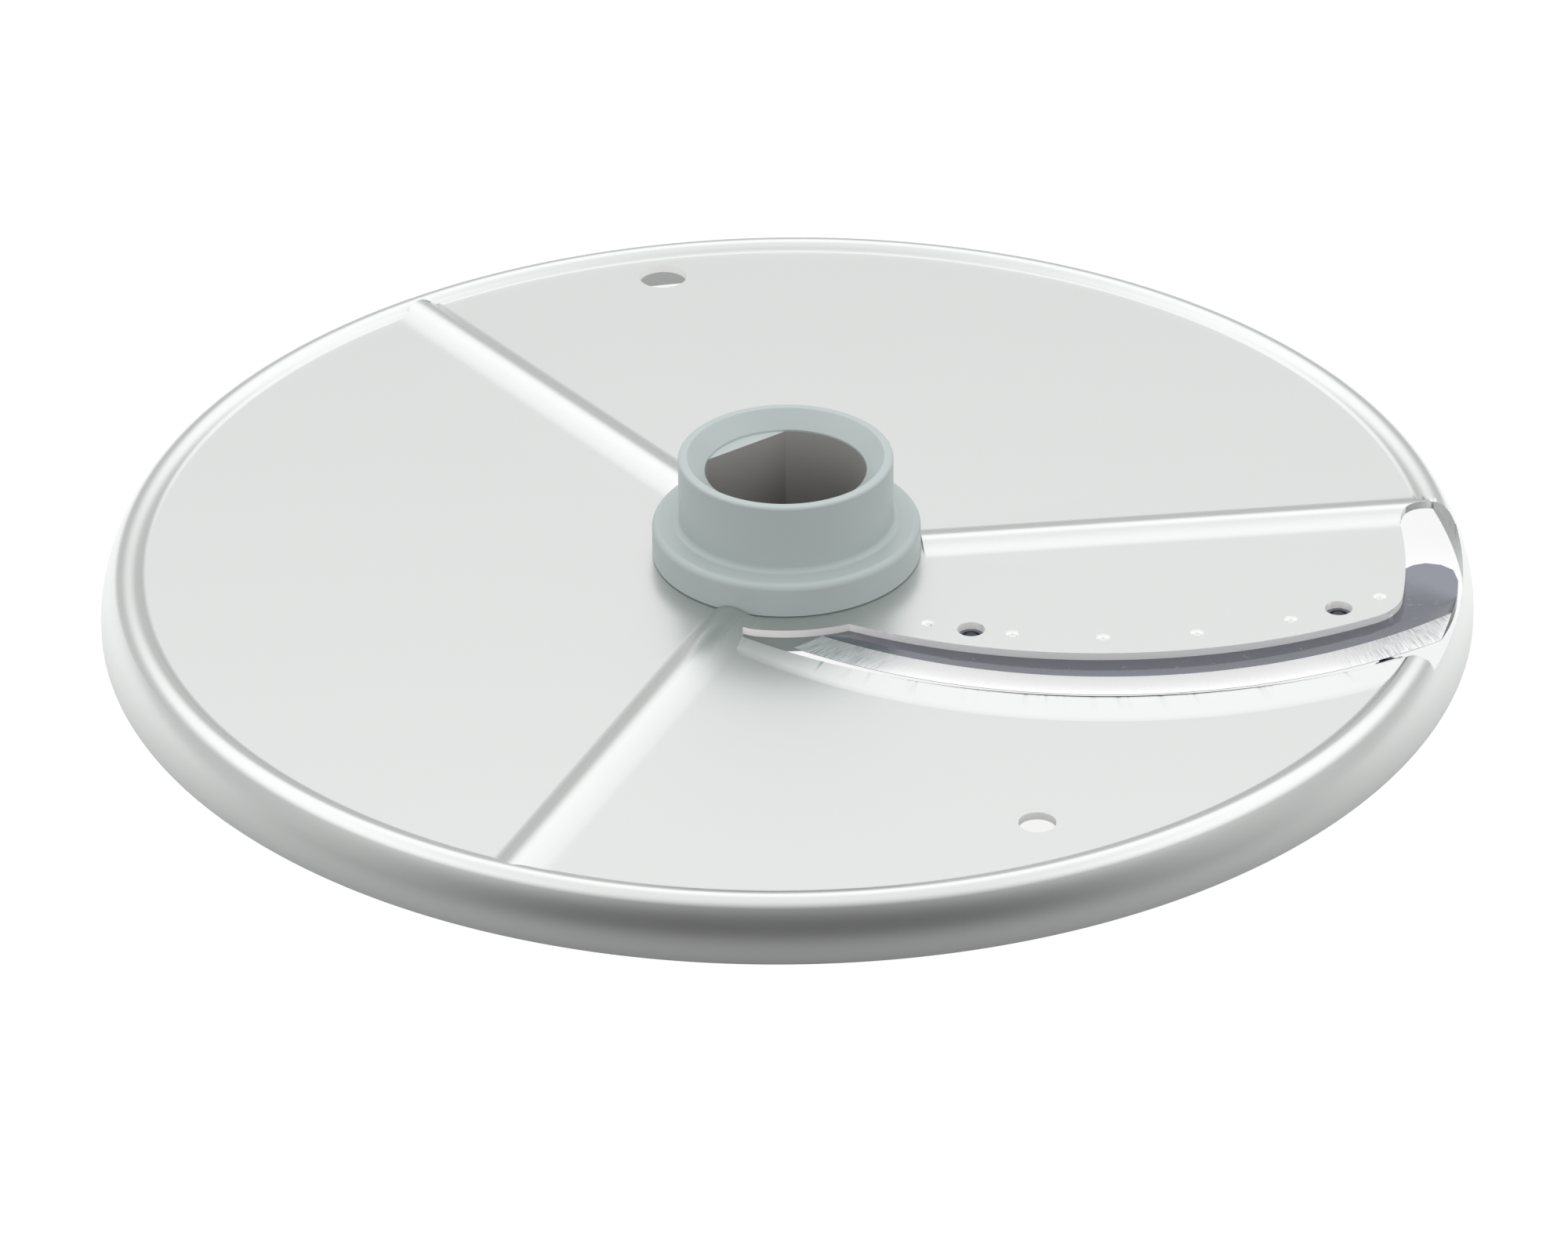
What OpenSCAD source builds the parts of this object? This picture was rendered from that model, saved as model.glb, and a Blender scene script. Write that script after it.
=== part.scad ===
// Slicing disc for a food processor: a pressed plate, a curved slicing blade and a moulded hub.
// Millimetres. Z is the spin axis, z = 0 is the lower edge of the skirt, +Y is the rear.

/* [Plate] */
// Outer radius of the skirt
disc_r = 87.5; // [84:0.5:91]
// Thickness of the pressed sheet
sheet_t = 1.0; // [0.8:0.1:1.2]
// Height of the flat floor above the lower edge of the skirt
floor_z = 6.7; // [6.2:0.1:7.5]
// Height of the bead and of the ribs above the floor
bead_rise = 0.9; // [0.6:0.05:1.2]
// Radius of the bead's crest in section
bead_crest_r = 2.3; // [2.1:0.1:2.6]
// Radius of the skirt below the bead in section
skirt_arc_r = 10.6; // [10:0.2:11]
// Slope where the bead's crest meets the skirt, in degrees
skirt_start = 55; // [50:1:60]
// Radius of the bend from the floor to the bead
bead_foot_r = 1.0; // [0.8:0.1:1.4]

// Disc radius at which the slot, blade and hole positions below are given
layout_r = 87.5; // [87:0.1:88]

/* [Ribs] */
// Number of radial ribs
rib_count = 3; // [2:1:4]
// Direction of the first rib from +X, in degrees
rib_azimuth = 6.3; // [4:0.1:9]
// How far the top of a rib lies below the bead's crest
rib_drop = 0.05; // [0.05:0.05:0.2]
// Radius of a rib's crest in section
rib_crest_r = 3.5; // [3:0.1:4]
// Radius of the bend at a rib's foot
rib_foot_r = 5.0; // [4:0.1:6]
// Gap between the end of a rib and the hub's flange
rib_flange_gap = 0.2; // [0.1:0.05:0.5]

/* [Slot] */
// X of the centre of the curved lip over the blade
lip_centre_x = 40.4; // [39:0.1:42]
// Y of the centre of the curved lip
lip_centre_y = 44.4; // [43:0.1:46]
// Radius of the curved lip
lip_r = 71.2; // [70:0.1:71.6]
// Width of the flat left round the hub's flange
lip_hub_gap = 3.3; // [2.5:0.1:3.9]
// X of the centre of the slot's leading edge
lead_centre_x = 41; // [40:0.1:42]
// Y of the centre of the slot's leading edge
lead_centre_y = 38.5; // [38:0.1:39]
// How far the slot's leading edge lies behind the cutting edge
slot_lap = 0.0; // [-0.1:0.05:0.1]
// Left end of the slot, as X
slot_end_x = -5.6; // [-6.5:0.1:-4.5]
// Radial distance from the skirt to the inner side of the cut-out at the blade's outer end
outlet_inner_inset = 8.8; // [8.3:0.1:9.5]
// Radial distance from the skirt to the outer side of the cut-out
outlet_outer_inset = 1.5; // [1.3:0.1:1.7]
// Rear end of the cut-out from +X, in degrees
outlet_rear_az = 4.0; // [3:0.1:5]
// Angle from the end of the slot's leading edge back to the cut-out's front end, in degrees
outlet_front_gap = 2.7; // [2:0.1:2.8]
// How far the cut-out's rounded rear end stays inside its two sides
outlet_round_inset = 0.15; // [0.1:0.05:0.5]
// Radius of the lip's outer corner
lip_corner_r = 7.0; // [6:0.5:8]

/* [Ramp] */
// Y of the centre of the fold where the ramp begins
fold_centre_y = 28.9; // [28:0.1:30]
// How far the fold lies ahead of the cutting edge
fold_ahead = 5.1; // [4.7:0.1:5.2]
// Slope of the ramp up to the slot, in degrees
ramp_slope = 5.2; // [4.6:0.1:5.4]

/* [Holes] */
// Azimuth of the rear round hole, in degrees
rear_hole_az = 102.3; // [95:0.1:110]
// Distance from the skirt to the centre of the rear round hole
rear_hole_inset = 10.9; // [10:0.1:13]
// Radius of the rear round hole
rear_hole_r = 3.2; // [2.5:0.1:3.4]
// Azimuth of the front round hole, in degrees
front_hole_az = 294.1; // [290:0.1:300]
// Distance from the skirt to the centre of the front round hole
front_hole_inset = 14.4; // [11:0.1:16]
// Radius of the front round hole
front_hole_r = 2.3; // [2:0.1:3]

/* [Blade] */
// Thickness of the blade
blade_t = 1.6; // [1.5:0.05:1.65]
// Y of the centre of the curved blade
blade_centre_y = 34.2; // [33.8:0.1:34.6]
// Distance from the lip to the line where the blade bends up
bend_gap = 2.4; // [2.3:0.1:2.8]
// Width of the rising part up to the ground bevel
blade_web = 4.3; // [4.2:0.1:4.5]
// Width of the ground bevel
bevel_w = 4.5; // [4.4:0.1:4.7]
// Angle of the blade above the plate, in degrees
blade_rise = 20; // [19.8:0.1:20.6]
// Width of the flat left at the cutting edge, in height
edge_land = 0.05; // [0.03:0.01:0.1]
// Width of the blade's hidden root behind the lip
blade_root = 9.0; // [8.2:0.1:9.7]
// Gap between the blade's outer end and the cut-out's outer side
blade_tip_gap = 0.6; // [0.5:0.1:1]
// Radius of the blade's rear outer corner
blade_corner_r = 3.0; // [2:0.1:3.5]

// Place of the blade's inner end at its cutting edge, as X and Y
blade_end = [0.6, -25.9];
// Place of the hidden root's inner corner, as X and Y
blade_heel_at = [14.6, -14.4];

/* [Welds] */
// Distance of the row of welds from the lip
weld_inset = 4.0; // [3.6:0.1:4.4]
// Number of spot welds
weld_count = 6; // [4:1:6]
// Direction of the first weld from the lip's centre, in degrees
weld_first_az = 250.2; // [249.5:0.1:250.5]
// Angle between the first two welds, in degrees
weld_step = 9.3; // [9.2:0.05:9.4]
// How much larger each next angle between two welds is
weld_step_growth = 0.4; // [0.35:0.01:0.45]
// Depth of a weld mark
weld_depth = 0.35; // [0.25:0.05:0.4]
// Radius of the round tip that leaves a weld mark
weld_tip_r = 1.1; // [1:0.05:1.3]
// Radius of a locating hole in the plate
locating_r = 1.75; // [1.5:0.05:2]
// How much smaller the locating hole in the blade is
locating_step = 0.5; // [0.3:0.05:0.7]
// Direction of the inner locating hole from the lip's centre, in degrees
locating_inner_az = 255.0; // [254.8:0.1:255.3]
// Direction of the outer locating hole from the lip's centre, in degrees
locating_outer_az = 295.5; // [295.2:0.1:295.8]

/* [Hub] */
// Outer radius of the tube
tube_r = 13.66; // [13:0.02:14]
// Height of the tube's top above the lower edge of the skirt
tube_top_z = 20.5; // [18.5:0.1:24]
// Radius of the drive bore
bore_r = 10.25; // [9.8:0.05:10.6]
// Distance from the spin axis to the bore's drive flat
drive_flat_d = 8.3; // [8.1:0.05:8.6]
// How far the drive flat starts below the lead-in
flat_drop = 0.2; // [0.1:0.1:0.6]
// Radial width of the lead-in at the top of the bore
lead_in = 2.12; // [1.6:0.02:2.3]
// Depth of the lead-in
lead_in_depth = 2.0; // [1.5:0.1:2.5]
// Outer radius of the flange
flange_r = 17.1; // [16.5:0.1:17.6]
// Height of the flange above the plate
flange_h = 4.55; // [3.5:0.05:5.5]
// Radius of the flange's rounded upper edge
flange_edge_r = 0.9; // [0.5:0.1:1.2]
// Radius of the fillet at the foot of the tube
tube_foot_r = 0.8; // [0.5:0.1:1.1]
// Size of the chamfer at the top of the tube
tube_edge = 0.4; // [0.2:0.1:0.6]
// Radius of the neck that passes through the plate
neck_r = 12.6; // [12:0.1:13]
// Clearance between the neck and the hole in the plate
neck_gap = 0.05; // [0.02:0.01:0.1]
// Radius of the boss under the plate
boss_r = 16.2; // [15:0.1:17]
// Height of the boss's lower face above the lower edge of the skirt
boss_bottom_z = 1.0; // [0.5:0.1:2]

/* [Hidden] */
$fn = 96;
arc_steps = 5;
eps = 0.5;
far = 200;
floor_bottom_z = floor_z - sheet_t;
crest_z = floor_z + bead_rise;
crest_centre_z = crest_z - bead_crest_r;
skirt_centre_z = crest_centre_z + (bead_crest_r - skirt_arc_r) * cos(skirt_start);
crest_r = disc_r - skirt_arc_r - (bead_crest_r - skirt_arc_r) * sin(skirt_start);
skirt_centre_r = disc_r - skirt_arc_r;
foot_span = bead_crest_r + bead_foot_r;
foot_rise = floor_z + bead_foot_r - crest_centre_z;
foot_tilt = acos(foot_rise / foot_span);
foot_r = crest_r - foot_span * sin(foot_tilt);
layout = disc_r / layout_r;
lip_x = lip_centre_x * layout;
lip_y = lip_centre_y * layout;
lip_arc_r = lip_r * layout;
lip_hub_r = flange_r + lip_hub_gap;
blade_x = lead_centre_x * layout;
blade_y = blade_centre_y * layout;
lead_y = lead_centre_y * layout;
fold_y = fold_centre_y * layout;
blade_bend_r = lip_arc_r - lip_y + blade_y + bend_gap;
bevel_start_r = blade_bend_r + blade_web;
edge_r = bevel_start_r + bevel_w;
lead_r = lead_y - blade_y + edge_r - slot_lap;
fold_r = fold_y - blade_y + edge_r + fold_ahead;
weld_row_r = lip_arc_r - weld_inset;
blade_rear_r = lip_arc_r - blade_root;
outlet_inner_r = disc_r - outlet_inner_inset;
outlet_outer_r = disc_r - outlet_outer_inset;
outlet_round_r = (outlet_outer_r - outlet_inner_r) / 2 - outlet_round_inset;
lead_d = norm([blade_x, lead_y]);
lead_end_az = atan2(lead_y, blade_x) - cross_angle(outlet_inner_r, lead_d, lead_r);
outlet_front_az = lead_end_az + outlet_front_gap;
lip_d = norm([lip_x, lip_y]);
blade_tip_r = outlet_outer_r - blade_tip_gap;
rear_hole_pos_r = disc_r - rear_hole_inset;
front_hole_pos_r = disc_r - front_hole_inset;
plate_hole_r = neck_r + neck_gap;
rib_rise = bead_rise - rib_drop;
rib_tilt = acos(1 - rib_rise / (rib_crest_r + rib_foot_r));
rib_half = (rib_crest_r + rib_foot_r) * sin(rib_tilt);
rib_start_r = flange_r + rib_flange_gap;
blade_top_z = floor_bottom_z;
blade_bottom_z = blade_top_z - blade_t;
bevel_top_z = blade_top_z + blade_web * tan(blade_rise);
edge_z = blade_bottom_z + (blade_web + bevel_w) * tan(blade_rise);
blade_left = blade_end * layout;
blade_heel = blade_heel_at * layout;
slot_end = slot_end_x * layout;
locating_az = [locating_inner_az, locating_outer_az];

// Points of an arc whose angle is read from straight up, turning outward.
function arc_up(cx, cz, r, a0, a1) =
  [for (i = [0 : arc_steps])
    let (a = a0 + (a1 - a0) * i / arc_steps) [cx + r * sin(a), cz + r * cos(a)]];

function reversed(list) = [for (i = [len(list) - 1 : -1 : 0]) list[i]];

// Angle at the corner of a triangle between sides a and b, with side c across from it.
function cross_angle(a, b, c) = acos((a * a + b * b - c * c) / (2 * a * b));

// One side of the plate's section from the floor's edge to the skirt, moved in by inset.
function rim_side(inset) = concat(
  reversed(arc_up(foot_r, floor_z + bead_foot_r, -(bead_foot_r + inset), -foot_tilt, 0)),
  arc_up(crest_r, crest_centre_z, bead_crest_r - inset, -foot_tilt, skirt_start),
  arc_up(skirt_centre_r, skirt_centre_z, skirt_arc_r - inset, skirt_start, 90));

// Upper line of a rib's section, from one foot to the other.
function rib_line() =
  let (half = concat(
    arc_up(0, rib_rise - rib_crest_r, rib_crest_r, 0, rib_tilt),
    reversed(arc_up(rib_half, rib_foot_r, -rib_foot_r, 0, rib_tilt))))
  concat([for (p = reversed(half)) [-p[0], p[1]]], half);

module at_rib(i) {
  rotate([0, 0, rib_azimuth + i * 360 / rib_count]) children();
}

// A bar that lies along +X from one radius to another, with the rib's section.
module rib_bar(from_r, to_r, top_z, depth) {
  translate([from_r, 0, top_z])
    rotate([90, 0, 90])
      linear_extrude(height = to_r - from_r)
        polygon(concat([[-rib_half, -depth]], rib_line(), [[rib_half, -depth]]));
}

module on_lip_row(r, az) {
  translate([lip_x + r * cos(az), lip_y + r * sin(az), 0]) children();
}

// The slot between the lip and the leading edge, as a plan shape.
module slot_plan() {
  difference() {
    intersection() {
      translate([blade_x, lead_y]) circle(r = lead_r);
      circle(r = outlet_inner_r + eps);
      translate([slot_end, -far]) square([far, far]);
    }
    translate([lip_x, lip_y]) circle(r = lip_arc_r);
    circle(r = lip_hub_r);
  }
}

// What comes off a corner to round it. The round's centre lies ring_r from the lip's centre
// and disc_d from the spin axis; side is 1 for a corner turned to the lip's centre, else -1.
module corner_plan(ring_r, disc_d, corner_r, side) {
  az = atan2(lip_y, lip_x) - cross_angle(disc_d, lip_d, ring_r);
  centre = [disc_d * cos(az), disc_d * sin(az)];
  lip_az = atan2(side * (lip_y - centre[1]), side * (lip_x - centre[0]));
  mid_az = (lip_az + az) / 2;
  translate(centre)
    difference() {
      polygon([[0, 0], far * [cos(lip_az), sin(lip_az)], far * [cos(mid_az), sin(mid_az)],
        far * [cos(az), sin(az)]]);
      circle(r = corner_r);
    }
}

// The rounded outer corner of the lip, where it meets the cut-out, as a plan shape.
module lip_corner_plan() {
  intersection() {
    corner_plan(lip_arc_r - lip_corner_r, outlet_inner_r - lip_corner_r, lip_corner_r, -1);
    translate([lip_x, lip_y]) circle(r = lip_arc_r + eps);
    circle(r = outlet_inner_r + eps);
  }
}

// The cut-out in the bead at the outer end of the blade, as a plan shape.
module outlet_plan() {
  difference() {
    intersection() {
      circle(r = outlet_outer_r);
      polygon([[0, 0],
        [far * cos(outlet_front_az), far * sin(outlet_front_az)],
        [far, 0],
        [far * cos(outlet_rear_az), far * sin(outlet_rear_az)]]);
    }
    circle(r = outlet_inner_r);
  }
  rotate(outlet_rear_az)
    translate([(outlet_inner_r + outlet_outer_r) / 2, 0]) circle(r = outlet_round_r);
}

module pressed_rim() {
  rotate_extrude()
    polygon(concat([[plate_hole_r, floor_z]], rim_side(0), [[disc_r, 0]],
      [[disc_r - sheet_t, 0]], reversed(rim_side(sheet_t)), [[plate_hole_r, floor_bottom_z]]));
}

// The low ramp that lifts the sheet from the fold to the slot's leading edge.
module ramp() {
  run = fold_r - blade_bend_r;
  difference() {
    translate([blade_x, fold_y, floor_z])
      cylinder(r1 = fold_r, r2 = fold_r - run, h = run * tan(ramp_slope));
    translate([blade_x, lead_y, 0]) cylinder(r = lead_r, h = far);
    translate([-far, 0, 0]) cube([2 * far, far, far]);
    difference() {
      cylinder(r = far, h = far);
      cylinder(r = crest_r, h = far);
    }
    cylinder(r = lip_hub_r + eps, h = far);
    translate([slot_end - far, -far, 0]) cube([far, far, far]);
  }
}

module disc_plate() {
  color("silver")
  difference() {
    union() {
      pressed_rim();
      for (i = [0 : rib_count - 1])
        at_rib(i) rib_bar(rib_start_r, crest_r, floor_z, sheet_t / 2);
      ramp();
    }
    for (i = [0 : rib_count - 1])
      at_rib(i) rib_bar(rib_start_r + sheet_t, crest_r, floor_bottom_z, sheet_t);
    linear_extrude(height = far) slot_plan();
    linear_extrude(height = far) outlet_plan();
    linear_extrude(height = far) lip_corner_plan();
    rotate([0, 0, rear_hole_az]) translate([rear_hole_pos_r, 0, 0])
      cylinder(r = rear_hole_r, h = far);
    rotate([0, 0, front_hole_az]) translate([front_hole_pos_r, 0, 0])
      cylinder(r = front_hole_r, h = far);
    for (i = [0 : weld_count - 1])
      on_lip_row(weld_row_r, weld_first_az + i * (weld_step + weld_step_growth * (i - 1) / 2))
        translate([0, 0, floor_z + weld_tip_r - weld_depth]) sphere(r = weld_tip_r);
    for (az = locating_az)
      on_lip_row(weld_row_r, az) cylinder(r = locating_r, h = far);
  }
}

// The blade's section about its own centre: flat root, rising part, ground bevel.
module blade_ring() {
  inner_r = blade_bend_r / 3;
  rotate_extrude()
    polygon([[inner_r, blade_bottom_z], [blade_bend_r, blade_bottom_z], [edge_r, edge_z],
      [edge_r, edge_z + edge_land], [bevel_start_r, bevel_top_z],
      [blade_bend_r, blade_top_z], [inner_r, blade_top_z]]);
}

// Plan shape of the blade: its inner end is cut off at a slant, its outer end follows the disc.
module blade_plan() {
  intersection() {
    circle(r = blade_tip_r);
    polygon([blade_left, blade_heel, [far, blade_heel[1] + eps], [far, -far],
      [blade_left[0], -far]]);
  }
}

module slicing_blade() {
  color("lightsteelblue")
  difference() {
    intersection() {
      translate([blade_x, blade_y, 0]) blade_ring();
      linear_extrude(height = far) blade_plan();
    }
    translate([lip_x, lip_y, -eps]) cylinder(r = blade_rear_r, h = far);
    linear_extrude(height = far)
      corner_plan(blade_rear_r + blade_corner_r, blade_tip_r - blade_corner_r, blade_corner_r, 1);
    for (az = locating_az)
      on_lip_row(weld_row_r, az) cylinder(r = locating_r - locating_step, h = far);
  }
}

module bore_plan() {
  intersection() {
    circle(r = bore_r);
    rotate(rib_azimuth + 360 / rib_count)
      translate([-far, -far / 2]) square([far + drive_flat_d, far]);
  }
}

module hub() {
  flange_top_z = floor_z + flange_h;
  lead_bottom_z = tube_top_z - lead_in_depth;
  color("darkgray")
  difference() {
    rotate_extrude()
      polygon(concat(
        [[0, boss_bottom_z], [boss_r, boss_bottom_z], [boss_r, floor_bottom_z],
          [neck_r, floor_bottom_z], [neck_r, floor_z], [flange_r, floor_z]],
        reversed(arc_up(flange_r - flange_edge_r, flange_top_z - flange_edge_r,
          flange_edge_r, 0, 90)),
        arc_up(tube_r + tube_foot_r, flange_top_z + tube_foot_r, -tube_foot_r, 0, 90),
        [[tube_r, tube_top_z - tube_edge], [tube_r - tube_edge, tube_top_z],
          [0, tube_top_z]]));
    translate([0, 0, lead_bottom_z - flat_drop]) cylinder(r = bore_r, h = far);
    translate([0, 0, lead_bottom_z])
      cylinder(r1 = bore_r, r2 = bore_r + lead_in, h = lead_in_depth);
    translate([0, 0, tube_top_z]) cylinder(r = bore_r + lead_in, h = far);
    linear_extrude(height = far) bore_plan();
  }
}

disc_plate();
slicing_blade();
hub();
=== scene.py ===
"""Looks of the food processor slicing disc: pressed plate, curved blade and moulded hub."""
import bpy
import math
from mathutils import Matrix, Vector


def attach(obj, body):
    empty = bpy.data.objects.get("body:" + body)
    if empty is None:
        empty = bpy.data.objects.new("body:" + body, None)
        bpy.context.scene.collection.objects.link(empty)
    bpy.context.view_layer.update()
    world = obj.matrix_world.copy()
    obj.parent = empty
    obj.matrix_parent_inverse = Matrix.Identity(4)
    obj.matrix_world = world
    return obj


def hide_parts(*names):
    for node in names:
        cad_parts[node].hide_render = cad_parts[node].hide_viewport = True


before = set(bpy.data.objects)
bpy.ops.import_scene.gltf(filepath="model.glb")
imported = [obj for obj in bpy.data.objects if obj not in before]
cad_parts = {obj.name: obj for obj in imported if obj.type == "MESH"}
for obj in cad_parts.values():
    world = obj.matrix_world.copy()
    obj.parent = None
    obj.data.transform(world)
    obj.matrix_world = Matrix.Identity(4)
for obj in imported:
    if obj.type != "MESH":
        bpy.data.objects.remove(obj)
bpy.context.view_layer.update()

MM = 0.001
FLOOR_Z = 6.7
SHEET = 1.0
DISC_R = 87.5
CREST_R, CREST_Z, CREST_BEND = 83.70, 5.3, 2.3
FOOT_BEND = 1.0
SKIRT_BEND = 10.6
SKIRT_START = 55.0
HUB_HOLE_R = 12.65
LIP_CENTRE, LIP_R, LIP_HUB_R = (40.4, 44.4), 71.2, 20.4
LEAD_CENTRE, LEAD_R = (41.0, 38.5), 76.5
LIP_CORNER_R = 7.0
SLOT_END_X = -5.6
OUTLET_IN, OUTLET_OUT = 78.7, 86.0
OUTLET_REAR, OUTLET_FRONT, OUTLET_ROUND = 4.0, -20.78, 3.5
RIBS = ((6.3, 9.0, 2.2), (126.3, 2.2, 9.0), (246.3, 2.2, 9.0))
RIB_RISE, RIB_CREST_BEND = 0.85, 3.5
RIB_START = 17.3
WELD_ROW = 67.2
WELDS = (250.2, 259.5, 269.2, 279.3, 289.8, 300.7)
WELD_R, WELD_DEPTH = 0.95, 0.55
LOCATING = (255.0, 295.5)
BLADE_CENTRE = (41.0, 34.2)
BLADE_BEND_R, BEVEL_START_R, EDGE_R = 63.4, 67.7, 72.2
BLADE_T, BLADE_RISE = 1.6, math.tan(math.radians(20.0))
RAMP_SLOPE = math.tan(math.radians(5.2))


# ---- shapes ----

def deselect():
    if bpy.context.object and bpy.context.object.mode != "OBJECT":
        bpy.ops.object.mode_set(mode="OBJECT")
    bpy.ops.object.select_all(action="DESELECT")


def arc(cx, cy, r, a0, a1, steps):
    """Points of an arc read from straight up and turning outward, as on the plate's section."""
    out = []
    for i in range(steps + 1):
        a = math.radians(a0 + (a1 - a0) * i / steps)
        out.append((cx + r * math.sin(a), cy + r * math.cos(a)))
    return out


def sweep(cx, cy, r, a0, a1, steps):
    """Points of an arc in plan, read from +X."""
    out = []
    for i in range(steps + 1):
        a = math.radians(a0 + (a1 - a0) * i / steps)
        out.append((cx + r * math.cos(a), cy + r * math.sin(a)))
    return out


def outline(name, points, fill):
    """A primitive ring whose corners are moved to the given places."""
    deselect()
    bpy.ops.mesh.primitive_circle_add(vertices=len(points), radius=1.0, fill_type=fill)
    piece = bpy.context.object
    piece.name = name
    piece.data.name = name
    for corner, place in zip(piece.data.vertices, points):
        corner.co = [c * MM for c in place]
    return piece


def clean(piece):
    deselect()
    piece.select_set(True)
    bpy.context.view_layer.objects.active = piece
    bpy.ops.object.mode_set(mode="EDIT")
    bpy.ops.mesh.select_all(action="SELECT")
    bpy.ops.mesh.remove_doubles(threshold=1e-7)
    bpy.ops.mesh.normals_make_consistent(inside=False)
    bpy.ops.object.mode_set(mode="OBJECT")
    return piece


def prism(name, points, z0, z1):
    """A plan outline extruded from one height to another."""
    piece = outline(name, [(x, y, z0) for x, y in points], "NGON")
    bpy.ops.object.mode_set(mode="EDIT")
    bpy.ops.mesh.select_all(action="SELECT")
    bpy.ops.mesh.extrude_region_move(TRANSFORM_OT_translate={"value": (0, 0, (z1 - z0) * MM)})
    bpy.ops.object.mode_set(mode="OBJECT")
    return clean(piece)


def turned(name, section, centre, steps):
    """A closed section of (radius, height) points, spun once round a vertical axis."""
    piece = outline(name, [(centre[0] + r, centre[1], z) for r, z in section], "NOTHING")
    bpy.ops.object.mode_set(mode="EDIT")
    bpy.ops.mesh.select_all(action="SELECT")
    bpy.ops.mesh.spin(steps=steps, angle=math.tau, axis=(0, 0, 1),
                      center=(centre[0] * MM, centre[1] * MM, 0))
    bpy.ops.object.mode_set(mode="OBJECT")
    return clean(piece)


def rib_flank(foot_bend):
    """One half of a rib's section, from the crest down to its foot."""
    tilt = math.degrees(math.acos(1 - RIB_RISE / (RIB_CREST_BEND + foot_bend)))
    width = (RIB_CREST_BEND + foot_bend) * math.sin(math.radians(tilt))
    return (arc(0, RIB_RISE - RIB_CREST_BEND, RIB_CREST_BEND, 0, tilt, 10)
            + arc(width, foot_bend, -foot_bend, 0, tilt, 10)[::-1][1:])


def rib_bar(name, rib, r0, r1, z, depth):
    """A bar along a radius with the soft section of a pressed rib."""
    azimuth, right_bend, left_bend = rib
    right, left = rib_flank(right_bend), rib_flank(left_bend)
    line = [(-right[-1][0], -depth)] + [(-u, h) for u, h in right[:0:-1]]
    line += left + [(left[-1][0], -depth)]
    piece = outline(name, [(r0, u, z + h) for u, h in line], "NGON")
    bpy.ops.object.mode_set(mode="EDIT")
    bpy.ops.mesh.select_all(action="SELECT")
    bpy.ops.mesh.extrude_region_move(TRANSFORM_OT_translate={"value": ((r1 - r0) * MM, 0, 0)})
    bpy.ops.object.mode_set(mode="OBJECT")
    piece.data.transform(Matrix.Rotation(math.radians(azimuth), 4, "Z"))
    return clean(piece)


def drum(name, x, y, r, z0, z1, corners=64):
    deselect()
    bpy.ops.mesh.primitive_cylinder_add(vertices=corners, radius=r * MM, depth=(z1 - z0) * MM,
                                        location=(x * MM, y * MM, (z0 + z1) / 2 * MM))
    piece = bpy.context.object
    piece.name = name
    bpy.ops.object.transform_apply(location=True)
    return piece


def ball(name, x, y, z, r):
    deselect()
    bpy.ops.mesh.primitive_uv_sphere_add(segments=64, ring_count=64, radius=r * MM,
                                         location=(x * MM, y * MM, z * MM))
    piece = bpy.context.object
    piece.name = name
    bpy.ops.object.transform_apply(location=True)
    return piece


def joined(piece, tool, operation):
    """Adds, cuts or keeps the tool's share of a piece, and removes the tool."""
    deselect()
    piece.select_set(True)
    bpy.context.view_layer.objects.active = piece
    step = piece.modifiers.new(tool.name, "BOOLEAN")
    step.operation = operation
    step.object = tool
    step.solver = "MANIFOLD"
    bpy.ops.object.modifier_apply(modifier=step.name)
    bpy.data.objects.remove(tool)
    return piece


def softened(piece, width, angle, segments=2):
    """Takes the sharp feel off the cut edges, then smooths the shading over the curves."""
    deselect()
    piece.select_set(True)
    bpy.context.view_layer.objects.active = piece
    if width:
        step = piece.modifiers.new("edges", "BEVEL")
        step.width = width * MM
        step.segments = segments
        step.limit_method = "ANGLE"
        step.angle_limit = math.radians(angle)
        step.use_clamp_overlap = True
        step.harden_normals = False
        bpy.ops.object.modifier_apply(modifier=step.name)
    bpy.ops.object.shade_smooth_by_angle(angle=math.radians(40))
    step = piece.modifiers.new("shading", "WEIGHTED_NORMAL")
    step.keep_sharp = True
    step.weight = 100
    bpy.ops.object.modifier_apply(modifier=step.name)
    return piece


def finish_piece(piece, node, slot, *materials):
    piece.data.materials.clear()
    for material in materials:
        piece.data.materials.append(material)
    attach(piece, "root")
    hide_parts(node)


# ---- shader expressions ----

class Wire:
    """A shader socket that takes part in plain arithmetic."""

    def __init__(self, tree, socket):
        self.tree, self.socket = tree, socket

    def maths(self, operation, a, b=None, c=None):
        node = self.tree.nodes.new("ShaderNodeMath")
        node.operation = operation
        for i, value in enumerate((a, b, c)):
            if isinstance(value, Wire):
                self.tree.links.new(value.socket, node.inputs[i])
            elif value is not None:
                node.inputs[i].default_value = value
        return Wire(self.tree, node.outputs[0])

    def __add__(self, o): return self.maths("ADD", self, o)
    def __radd__(self, o): return self.maths("ADD", o, self)
    def __sub__(self, o): return self.maths("SUBTRACT", self, o)
    def __rsub__(self, o): return self.maths("SUBTRACT", o, self)
    def __mul__(self, o): return self.maths("MULTIPLY", self, o)
    def __rmul__(self, o): return self.maths("MULTIPLY", o, self)
    def __truediv__(self, o): return self.maths("DIVIDE", self, o)
    def __rtruediv__(self, o): return self.maths("DIVIDE", o, self)
    def __pow__(self, o): return self.maths("POWER", self, o)
    def clamp(self): return self.maths("MINIMUM", self.maths("MAXIMUM", self, 0.0), 1.0)


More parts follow.
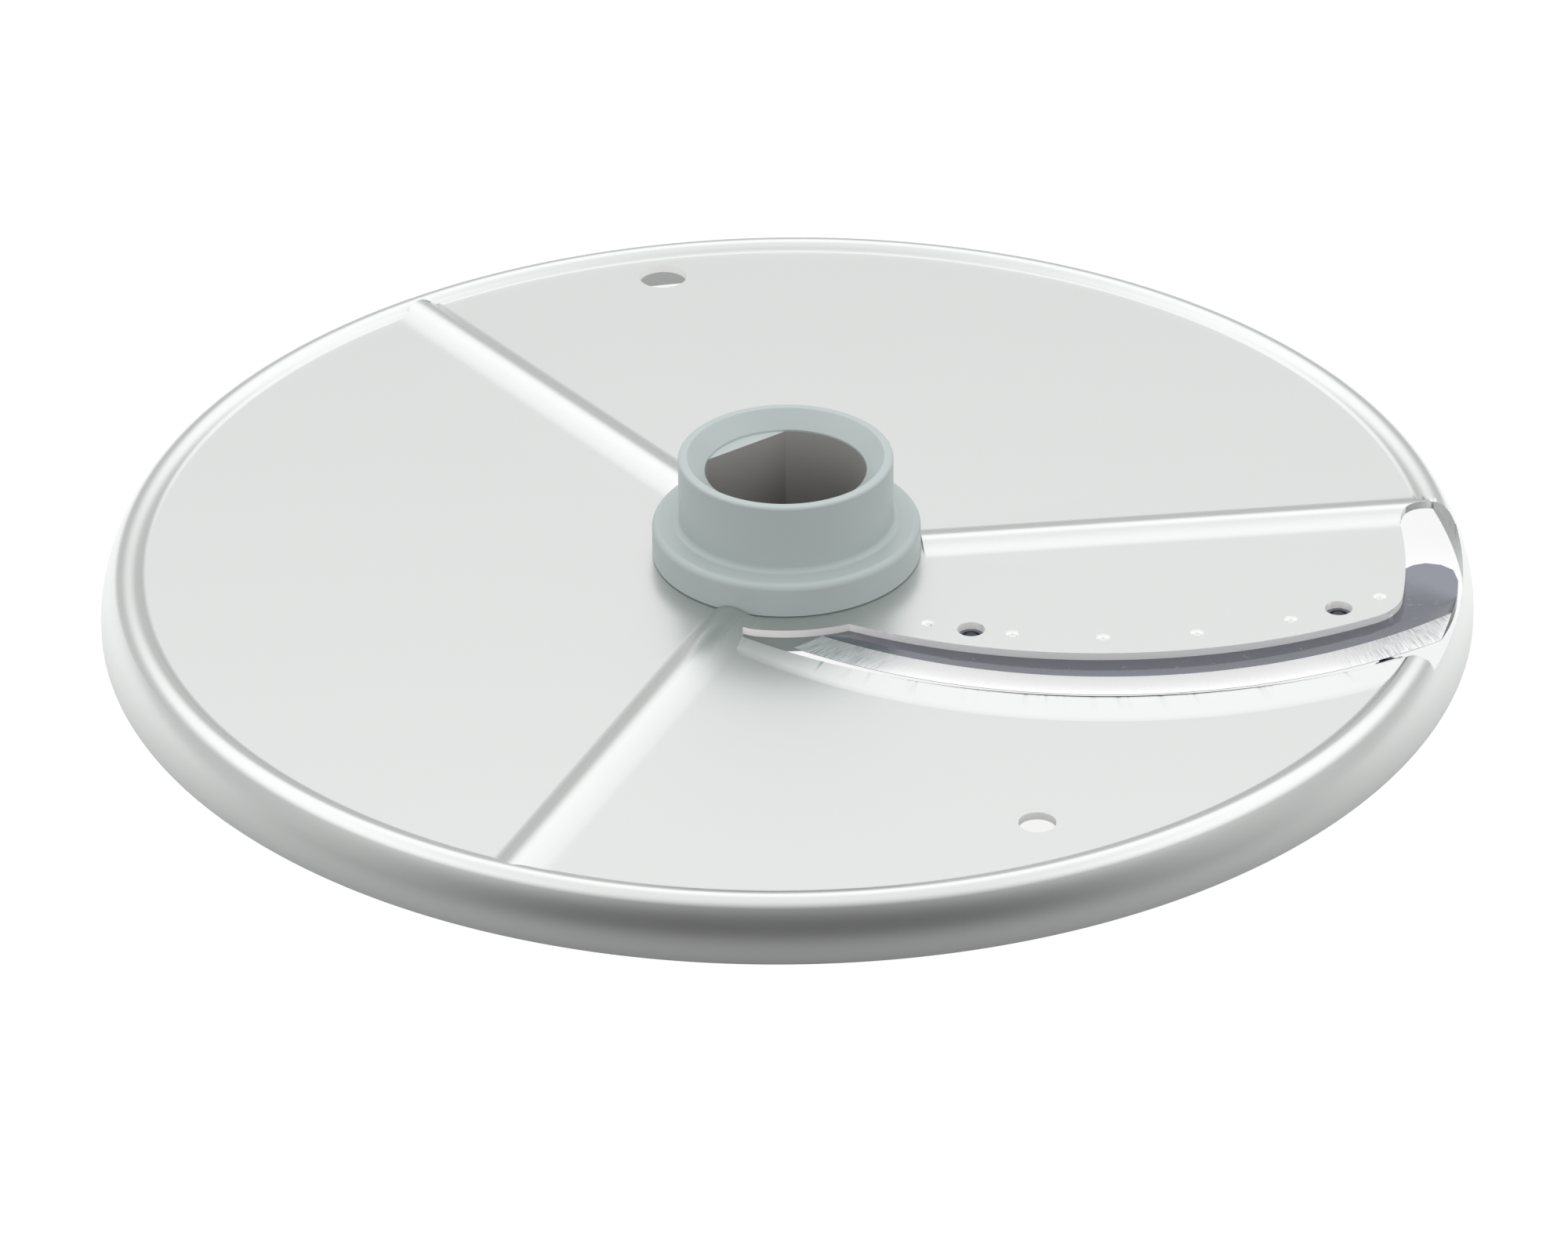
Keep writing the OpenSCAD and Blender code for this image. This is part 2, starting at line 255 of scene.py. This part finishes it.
class Finish:
    """A material or world whose nodes are made by one method."""

    def __init__(self, owner):
        owner.use_nodes = True
        self.owner, self.tree = owner, owner.node_tree
        self.tree.nodes.clear()

    def node(self, kind, settings=None, **sockets):
        made = self.tree.nodes.new(kind)
        for name, value in (settings or {}).items():
            if name == "stops":
                ramp = made.color_ramp
                while len(ramp.elements) < len(value):
                    ramp.elements.new(0.5)
                for stop, (place, tone) in zip(ramp.elements, value):
                    stop.position = place
                    stop.color = (tone, tone, tone, 1) if isinstance(tone, float) else tone
            else:
                setattr(made, name, value)
        for name, value in sockets.items():
            socket = made.inputs[int(name[1:])] if name[1:].isdigit() else made.inputs[name.replace("_", " ")]
            if isinstance(value, Wire):
                self.tree.links.new(value.socket, socket)
            else:
                socket.default_value = value
        return made

    def out(self, made, name=0):
        return Wire(self.tree, made.outputs[name])

    def smoothstep(self, value, low, high):
        return self.out(self.node("ShaderNodeMapRange", {"interpolation_type": "SMOOTHSTEP"},
                                  Value=value, From_Min=low, From_Max=high), "Result")

    def close(self, shader):
        kind = "ShaderNodeOutputWorld" if isinstance(self.owner, bpy.types.World) \
            else "ShaderNodeOutputMaterial"
        self.node(kind, Surface=shader)
        return self.owner


def new_finish(name):
    return Finish(bpy.data.materials.new(name))


def plate_steel():
    """Satin sheet: fine rolled grain, small pits, smoother on what stands above the floor."""
    f = new_finish("plate_steel")
    place = f.out(f.node("ShaderNodeTexCoord"), "Object")
    split = f.node("ShaderNodeSeparateXYZ", Vector=place)
    height = f.out(split, "Z")
    raised = f.smoothstep(height, 6.9 * MM, 7.5 * MM)
    grain_place = f.out(f.node("ShaderNodeMapping", i1=(0, 0, 0), i2=(0, 0, math.radians(35)),
                               i3=(260, 2600, 600), Vector=place))
    grain = f.out(f.node("ShaderNodeTexNoise", Vector=grain_place, Scale=1.0, Detail=3.0,
                         Roughness=0.6), 0)
    cloud = f.out(f.node("ShaderNodeTexNoise", Vector=place, Scale=60.0, Detail=3.0), 0)
    pits = f.out(f.node("ShaderNodeTexNoise", Vector=place, Scale=1500.0, Detail=1.0), 0)
    pit_mask = f.smoothstep(pits, 0.74, 0.80)
    rough = 0.31 + (cloud - 0.5) * 0.03 - raised * 0.08 + (grain - 0.5) * 0.02
    bump = f.node("ShaderNodeBump", Strength=0.004, Distance=0.00002,
                  Height=grain * (1 - raised * 0.7) - pit_mask * 1.5)
    shader = f.node("ShaderNodeBsdfPrincipled", Base_Color=(0.655, 0.67, 0.66, 1), Metallic=1.0,
                    Roughness=rough, Normal=f.out(bump))
    return f.close(f.out(shader))


def cut_edge():
    """The sheared edges of the sheet: dull and light."""
    f = new_finish("cut_edge")
    place = f.out(f.node("ShaderNodeTexCoord"), "Object")
    shear = f.out(f.node("ShaderNodeTexNoise", Vector=place, Scale=1400.0, Detail=2.0), 0)
    shader = f.node("ShaderNodeBsdfPrincipled", Base_Color=(0.96, 0.955, 0.94, 1), Metallic=0.08,
                    Roughness=0.35 + shear * 0.2)
    return f.close(f.out(shader))


def blade_flat():
    """Polished blade steel with a few dull specks; its base colour is painted dark, well below steel's own,
    as painted shade for the dark reflection of the lip's underside.
    """
    f = new_finish("blade_flat")
    place = f.out(f.node("ShaderNodeTexCoord"), "Object")
    specks = f.out(f.node("ShaderNodeTexNoise", Vector=place, Scale=900.0, Detail=2.0), 0)
    dull = f.smoothstep(specks, 0.62, 0.72)
    # Painted shade: the base colour is darkened far below plain steel to stand in for the dark reflection on
    # the blade's flat.
    shader = f.node("ShaderNodeBsdfPrincipled", Base_Color=(0.26, 0.27, 0.31, 1), Metallic=1.0,
                    Roughness=0.12 + dull * 0.25)
    return f.close(f.out(shader))


def blade_bevel():
    """Ground bevel: short strokes that run across the cutting edge, with painted shade that darkens the
    strokes toward the blade's two ends.
    """
    f = new_finish("blade_bevel")
    place = f.out(f.node("ShaderNodeTexCoord"), "Object")
    centred = f.node("ShaderNodeVectorMath", {"operation": "SUBTRACT"}, i0=place,
                     i1=(BLADE_CENTRE[0] * MM, BLADE_CENTRE[1] * MM, 0))
    split = f.node("ShaderNodeSeparateXYZ", Vector=f.out(centred))
    x, y = f.out(split, "X"), f.out(split, "Y")
    turn = x.maths("ARCTAN2", y, x)
    reach = (x * x + y * y) ** 0.5
    stroke_place = f.out(f.node("ShaderNodeCombineXYZ", X=turn * 900.0 + reach * 2500.0,
                                Y=reach * 260.0))
    strokes = f.out(f.node("ShaderNodeTexNoise", Vector=stroke_place, Scale=1.0, Detail=4.0,
                           Roughness=0.7), 0)
    # Painted shade: the strokes are darkened toward the blade's two ends, where the bevel turns away from the
    # front.
    end_shade_mask = f.smoothstep(x.maths("ABSOLUTE", turn + math.pi / 2), 0.34, 0.52)
    dark = end_shade_mask * f.smoothstep(strokes, 0.44, 0.62)
    colour = f.out(f.node("ShaderNodeMix", {"data_type": "RGBA"}, i0=dark,
                          i6=(0.98, 0.98, 0.985, 1), i7=(0.42, 0.43, 0.45, 1)), 2)
    bump = f.node("ShaderNodeBump", Strength=0.10, Distance=0.00003, Height=strokes)
    shader = f.node("ShaderNodeBsdfPrincipled", Base_Color=colour, Metallic=1.0,
                    Roughness=0.30 + (strokes - 0.5) * 0.2, Normal=f.out(bump))
    return f.close(f.out(shader))


def hub_plastic():
    """Moulded grey plastic with a fine texture and a slight sheen; inside the bore the colour is painted
    shade, near black at its foot and lighter toward the top.
    """
    f = new_finish("hub_plastic")
    place = f.out(f.node("ShaderNodeTexCoord"), "Object")
    skin = f.out(f.node("ShaderNodeTexNoise", Vector=place, Scale=2200.0, Detail=2.0), 0)
    cloud = f.out(f.node("ShaderNodeTexNoise", Vector=place, Scale=90.0, Detail=2.0), 0)
    split = f.node("ShaderNodeSeparateXYZ", Vector=place)
    x, y, z = (f.out(split, axis) for axis in "XYZ")
    reach = (x * x + y * y) ** 0.5
    inside = x.maths("LESS_THAN", reach, 10.7 * MM) * x.maths("LESS_THAN", z, 18.28 * MM)
    # Painted shade: the bore's inside runs from near black at its foot to mid grey near its top.
    painted_bore_shade = f.out(f.node("ShaderNodeMix", {"data_type": "RGBA"}, i0=f.smoothstep(z, 2 * MM, 20 * MM),
                        i6=(0.06, 0.055, 0.054, 1), i7=(0.37, 0.365, 0.36, 1)), 2)
    colour = f.out(f.node("ShaderNodeMix", {"data_type": "RGBA"}, i0=inside,
                          i6=(0.46, 0.52, 0.51, 1), i7=painted_bore_shade), 2)
    bump = f.node("ShaderNodeBump", Strength=0.12, Distance=0.00003, Height=skin)
    shader = f.node("ShaderNodeBsdfPrincipled", Base_Color=colour,
                    Roughness=0.36 + (cloud - 0.5) * 0.08, Normal=f.out(bump))
    return f.close(f.out(shader))


# ---- plate ----

def rim_side(inset):
    foot_tilt = math.degrees(math.acos((FLOOR_Z + FOOT_BEND - CREST_Z) / (CREST_BEND + FOOT_BEND)))
    foot_r = CREST_R - (CREST_BEND + FOOT_BEND) * math.sin(math.radians(foot_tilt))
    skirt_z = CREST_Z + (CREST_BEND - SKIRT_BEND) * math.cos(math.radians(SKIRT_START))
    return (arc(foot_r, FLOOR_Z + FOOT_BEND, -(FOOT_BEND + inset), 0, -foot_tilt, 8)
            + arc(CREST_R, CREST_Z, CREST_BEND - inset, -foot_tilt, SKIRT_START, 18)[1:]
            + arc(DISC_R - SKIRT_BEND, skirt_z, SKIRT_BEND - inset, SKIRT_START, 90, 12)[1:])


def make_plate():
    lower = 0.12
    section = [(HUB_HOLE_R, FLOOR_Z), (78.0, FLOOR_Z)] + rim_side(0)
    section += [(DISC_R, lower), (DISC_R - lower, 0), (DISC_R - SHEET + lower, 0),
                (DISC_R - SHEET, lower)]
    section += rim_side(SHEET)[::-1] + [(78.0, FLOOR_Z - SHEET), (HUB_HOLE_R, FLOOR_Z - SHEET)]
    plate = turned("disc_plate_sheet", section, (0, 0), 360)
    for n, rib in enumerate(RIBS):
        joined(plate, rib_bar(f"rib_{n}", rib, RIB_START, CREST_R, FLOOR_Z, 0.5), "UNION")
    ramp = [(60.0, FLOOR_Z - 0.4), (72.9, FLOOR_Z - 0.4)]
    for k in range(9):
        u = 1.8 * k / 8
        ramp.append((72.9 - u, FLOOR_Z - 0.01 + RAMP_SLOPE * u * u / 3.6))
    ramp.append((60.0, ramp[-1][1] + RAMP_SLOPE * 11.1))
    land = turned("land", ramp, (41.0, 28.9), 480)
    keep = LEAD_LINE + sweep(0, 0, CREST_R, -18.0, -104.0, 80)
    joined(land, prism("land_area", keep, 5.0, 9.0), "INTERSECT")
    joined(plate, land, "UNION")
    for n, rib in enumerate(RIBS):
        joined(plate, rib_bar(f"hollow_{n}", rib, RIB_START + 1, CREST_R, FLOOR_Z - SHEET, 1.0),
               "DIFFERENCE")
    joined(plate, prism("slot", slot_line(), 3.0, 12.0), "DIFFERENCE")
    outlet = (sweep(0, 0, OUTLET_OUT, OUTLET_FRONT, OUTLET_REAR, 48)
              + sweep(0, 0, OUTLET_IN, OUTLET_REAR, OUTLET_FRONT, 48))
    joined(plate, prism("outlet", outlet, 0.6, 12.0), "DIFFERENCE")
    middle = (OUTLET_IN + OUTLET_OUT) / 2
    a = math.radians(OUTLET_REAR)
    joined(plate, drum("outlet_round", middle * math.cos(a), middle * math.sin(a), OUTLET_ROUND,
                       0.6, 12.0), "DIFFERENCE")
    for name, az, pos_r, r in (("rear_hole", 102.3, 76.6, 3.2), ("front_hole", 294.1, 73.1, 2.3)):
        a = math.radians(az)
        joined(plate, drum(name, pos_r * math.cos(a), pos_r * math.sin(a), r, 4.0, 9.0), "DIFFERENCE")
    for n, az in enumerate(LOCATING):
        x, y = on_row(az)
        joined(plate, drum(f"locating_{n}", x, y, 1.75, 4.0, 9.0, 48), "DIFFERENCE")
    for n, az in enumerate(WELDS):
        x, y = on_row(az)
        joined(plate, ball(f"weld_{n}", x, y, FLOOR_Z + WELD_R - WELD_DEPTH, WELD_R), "DIFFERENCE")
    softened(plate, 0.32, 50, 3)
    return plate


def on_row(az):
    a = math.radians(az)
    return (LIP_CENTRE[0] + WELD_ROW * math.cos(a), LIP_CENTRE[1] + WELD_ROW * math.sin(a))


def azimuth_of(x, y, centre=(0, 0)):
    return math.degrees(math.atan2(y - centre[1], x - centre[0]))


def meet(c0, r0, c1, r1, right):
    """Where two circles cross, on the chosen side of the line from one centre to the other."""
    dx, dy = c1[0] - c0[0], c1[1] - c0[1]
    d = math.hypot(dx, dy)
    along = (r0 * r0 - r1 * r1 + d * d) / (2 * d)
    off = math.sqrt(r0 * r0 - along * along) * (-1 if right else 1)
    return (c0[0] + (along * dx - off * dy) / d, c0[1] + (along * dy + off * dx) / d)


def lead_y(x):
    return LEAD_CENTRE[1] - math.sqrt(LEAD_R ** 2 - (x - LEAD_CENTRE[0]) ** 2)


def slot_line():
    """The slot: lip round the hub, lip along the blade, its rounded corner, the leading edge."""
    kink = meet((0, 0), LIP_HUB_R, LIP_CENTRE, LIP_R, False)
    if kink[1] > 0:
        kink = meet((0, 0), LIP_HUB_R, LIP_CENTRE, LIP_R, True)
    corner = meet((0, 0), OUTLET_IN - LIP_CORNER_R, LIP_CENTRE, LIP_R - LIP_CORNER_R, True)
    turn_a, turn_b = azimuth_of(*corner, LIP_CENTRE), azimuth_of(*corner)
    start_a = azimuth_of(SLOT_END_X, -math.sqrt(LIP_HUB_R ** 2 - SLOT_END_X ** 2))
    points = sweep(0, 0, LIP_HUB_R, start_a, azimuth_of(*kink), 24)
    points += sweep(*LIP_CENTRE, LIP_R, azimuth_of(*kink, LIP_CENTRE), turn_a, 140)[1:]
    points += sweep(*corner, LIP_CORNER_R, turn_a, turn_b, 24)[1:]
    end = meet((0, 0), OUTLET_IN + 0.5, LEAD_CENTRE, LEAD_R, True)
    points += sweep(0, 0, OUTLET_IN + 0.5, turn_b, azimuth_of(*end), 24)
    lead_a0, lead_a1 = (azimuth_of(x, lead_y(x), LEAD_CENTRE) for x in (end[0], SLOT_END_X))
    points += sweep(*LEAD_CENTRE, LEAD_R, lead_a0, lead_a1, 160)[1:]
    return points


LEAD_LINE = [(-5.7, lead_y(-5.6))] + [(x, lead_y(x) + 0.4) for x in range(-5, 78)]


# ---- blade ----

def make_blade():
    top, low = FLOOR_Z - SHEET, FLOOR_Z - SHEET - BLADE_T
    edge_z = low + (EDGE_R - BLADE_BEND_R) * BLADE_RISE
    bevel_z = top + (BEVEL_START_R - BLADE_BEND_R) * BLADE_RISE
    section = [(21.0, low), (BLADE_BEND_R, low), (EDGE_R, edge_z), (EDGE_R, edge_z + 0.05),
               (BEVEL_START_R, bevel_z), (BLADE_BEND_R, top), (21.0, top)]
    blade = turned("slicing_blade_steel", section, BLADE_CENTRE, 720)
    tip, corner = 85.4, 3.0
    rear_r = 62.2
    corner_d = tip - corner
    rear_y = LIP_CENTRE[1] - math.sqrt((rear_r + corner) ** 2 - (corner_d - LIP_CENTRE[0]) ** 2)
    area = [(0.6, -25.9), (0.6, -60.0), (86.0, -60.0)]
    area += sweep(0, 0, tip, -34.0, azimuth_of(85.4, -8.0), 60)
    area += [(84.6, -5.2), (83.2, -3.9), (81.2, -3.4), (78.5, -4.2), (60.0, -9.5), (14.6, -14.4)]
    joined(blade, prism("blade_area", area, 2.0, 12.0), "INTERSECT")
    joined(blade, drum("blade_rear", *LIP_CENTRE, rear_r, 2.0, 12.0, 360), "DIFFERENCE")
    for n, az in enumerate(LOCATING):
        x, y = on_row(az)
        joined(blade, drum(f"blade_locating_{n}", x, y, 1.25, 2.0, 12.0, 48), "DIFFERENCE")
    softened(blade, 0.0, 30)
    return blade


# ---- hub ----

def make_hub():
    top, lead = 20.5, 18.5
    flange_top = FLOOR_Z + 4.55
    section = [(10.25, 1.25), (10.5, 1.0)]
    section += arc(15.7, 1.5, 0.5, 180, 90, 6)
    section += [(16.2, FLOOR_Z - SHEET), (12.6, FLOOR_Z - SHEET), (12.6, FLOOR_Z),
                (16.95, FLOOR_Z), (17.1, FLOOR_Z + 0.15)]
    section += arc(17.1 - 0.9, flange_top - 0.9, 0.9, 90, 0, 10)
    section += arc(13.66 + 0.8, flange_top + 0.8, -0.8, 0, 90, 8)
    section += arc(13.66 - 0.4, top - 0.4, 0.4, 90, 0, 6)
    section += [(12.52, top), (12.37, top - 0.14), (10.33, lead + 0.08), (10.25, lead - 0.05)]
    hub = turned("hub_moulding", section, (0, 0), 256)
    a = math.acos(8.3 / 10.25)
    segment = sweep(0, 0, 10.6, -math.degrees(a) - 2, math.degrees(a) + 2, 20)
    flat = prism("drive_flat", [(8.3, -6.6)] + segment + [(8.3, 6.6)], 1.0, lead - 0.2)
    flat.data.transform(Matrix.Rotation(math.radians(126.3), 4, "Z"))
    joined(hub, flat, "UNION")
    softened(hub, 0.12, 40)
    return hub


steel, flat_steel, bevel_steel, plastic = plate_steel(), blade_flat(), blade_bevel(), hub_plastic()
plate = make_plate()
finish_piece(plate, "disc_plate", "plate_steel", steel, cut_edge())
for face in plate.data.polygons:
    c = face.center / MM
    if abs(face.normal.z) < 0.80 and FLOOR_Z - SHEET < c.z < 6.95 and math.hypot(c.x, c.y) < 80:
        face.material_index = 1
blade = make_blade()
finish_piece(blade, "slicing_blade", "blade_steel", flat_steel, bevel_steel)
for face in blade.data.polygons:
    c = face.center / MM
    r = math.hypot(c.x - BLADE_CENTRE[0], c.y - BLADE_CENTRE[1])
    if face.normal.z > 0.5 and r > BEVEL_START_R:
        face.material_index = 1
hub = make_hub()
finish_piece(hub, "hub", "hub_plastic", plastic)


# ---- studio ----

def studio_floor():
    """Pale floor: white to the camera with a faint shadow, darker in front as metal sees it."""
    f = new_finish("studio_floor")
    seen = f.out(f.node("ShaderNodeLightPath"), "Is Camera Ray")
    place = f.node("ShaderNodeSeparateXYZ", Vector=f.out(f.node("ShaderNodeTexCoord"), "Object"))
    rear = f.smoothstep(f.out(place, "Y"), -0.12, 0.02)
    tone = f.out(f.node("ShaderNodeMix", {"data_type": "RGBA"}, i0=rear, i6=(0.30, 0.30, 0.30, 1),
                        i7=(0.85, 0.85, 0.85, 1)), 2)
    lit = f.node("ShaderNodeBsdfDiffuse", Color=tone)
    rear_glow = f.node("ShaderNodeEmission", Color=(1, 1, 1, 1), Strength=rear * 0.35)
    metal_sees = f.node("ShaderNodeAddShader", i0=f.out(lit), i1=f.out(rear_glow))
    pale = f.node("ShaderNodeBsdfDiffuse", Color=(0.20, 0.20, 0.20, 1))
    glow = f.node("ShaderNodeEmission", Color=(1, 1, 1, 1), Strength=0.88)
    camera_sees = f.node("ShaderNodeAddShader", i0=f.out(pale), i1=f.out(glow))
    mix = f.node("ShaderNodeMixShader", i0=seen, i1=f.out(metal_sees), i2=f.out(camera_sees))
    material = f.close(f.out(mix))
    deselect()
    bpy.ops.mesh.primitive_plane_add(size=8.0, location=(0, 0, 0))
    floor = bpy.context.object
    floor.name = "studio_floor"
    floor.data.materials.append(material)


def studio_light():
    """A white tent: bright overhead, softer toward the horizon, dim on the camera's side."""
    world = bpy.data.worlds.new("studio")
    bpy.context.scene.world = world
    f = Finish(world)
    way = f.node("ShaderNodeSeparateXYZ", Vector=f.out(f.node("ShaderNodeTexCoord"), "Generated"))
    y, z = f.out(way, "Y"), f.out(way, "Z")
    dim = f.smoothstep(0 - y, 0.15, 0.90)
    tone = (0.72 + f.smoothstep(z, 0.38, 0.62) * 0.80) * (1 - dim * 0.80)
    tone = tone * (1 - f.smoothstep(z, 0.78, 0.97) * 0.22)
    background = f.node("ShaderNodeBackground", Color=(1, 1, 1, 1), Strength=tone)
    seen = f.node("ShaderNodeBackground", Color=(1, 1, 1, 1), Strength=1.0)
    mix = f.node("ShaderNodeMixShader", i0=f.out(f.node("ShaderNodeLightPath"), "Is Camera Ray"),
                 i1=f.out(background), i2=f.out(seen))
    f.close(f.out(mix))
    bpy.ops.object.light_add(type="AREA", location=(0.1, -1.1, 0.35), rotation=(math.radians(72), 0, 0))
    fill = bpy.context.object
    fill.data.size = 0.9
    fill.data.energy = 4.0
    fill.visible_glossy = False


def photo_camera():
    """The camera found for the photograph: long lens, from the front and above."""
    pitch, yaw, roll = (math.radians(a) for a in (30.320, -0.0277, -0.6323))
    ahead = Vector((math.sin(yaw) * math.cos(pitch), math.cos(yaw) * math.cos(pitch), -math.sin(pitch)))
    right = Vector((math.cos(yaw), -math.sin(yaw), 0))
    up = right.cross(ahead)
    side = math.cos(roll) * right + math.sin(roll) * up
    above = -math.sin(roll) * right + math.cos(roll) * up
    data = bpy.data.cameras.new("photo_camera")
    data.sensor_width = 36
    data.lens = 188.54
    data.clip_end = 100
    camera = bpy.data.objects.new("photo_camera", data)
    bpy.context.collection.objects.link(camera)
    turn = Matrix((side, above, -ahead)).transposed().to_4x4()
    camera.matrix_world = Matrix.Translation(Vector((0, -0.908414, 0.526577))) @ turn
    bpy.context.scene.camera = camera


studio_floor()
studio_light()
photo_camera()
bpy.context.scene.view_settings.view_transform = "Standard"
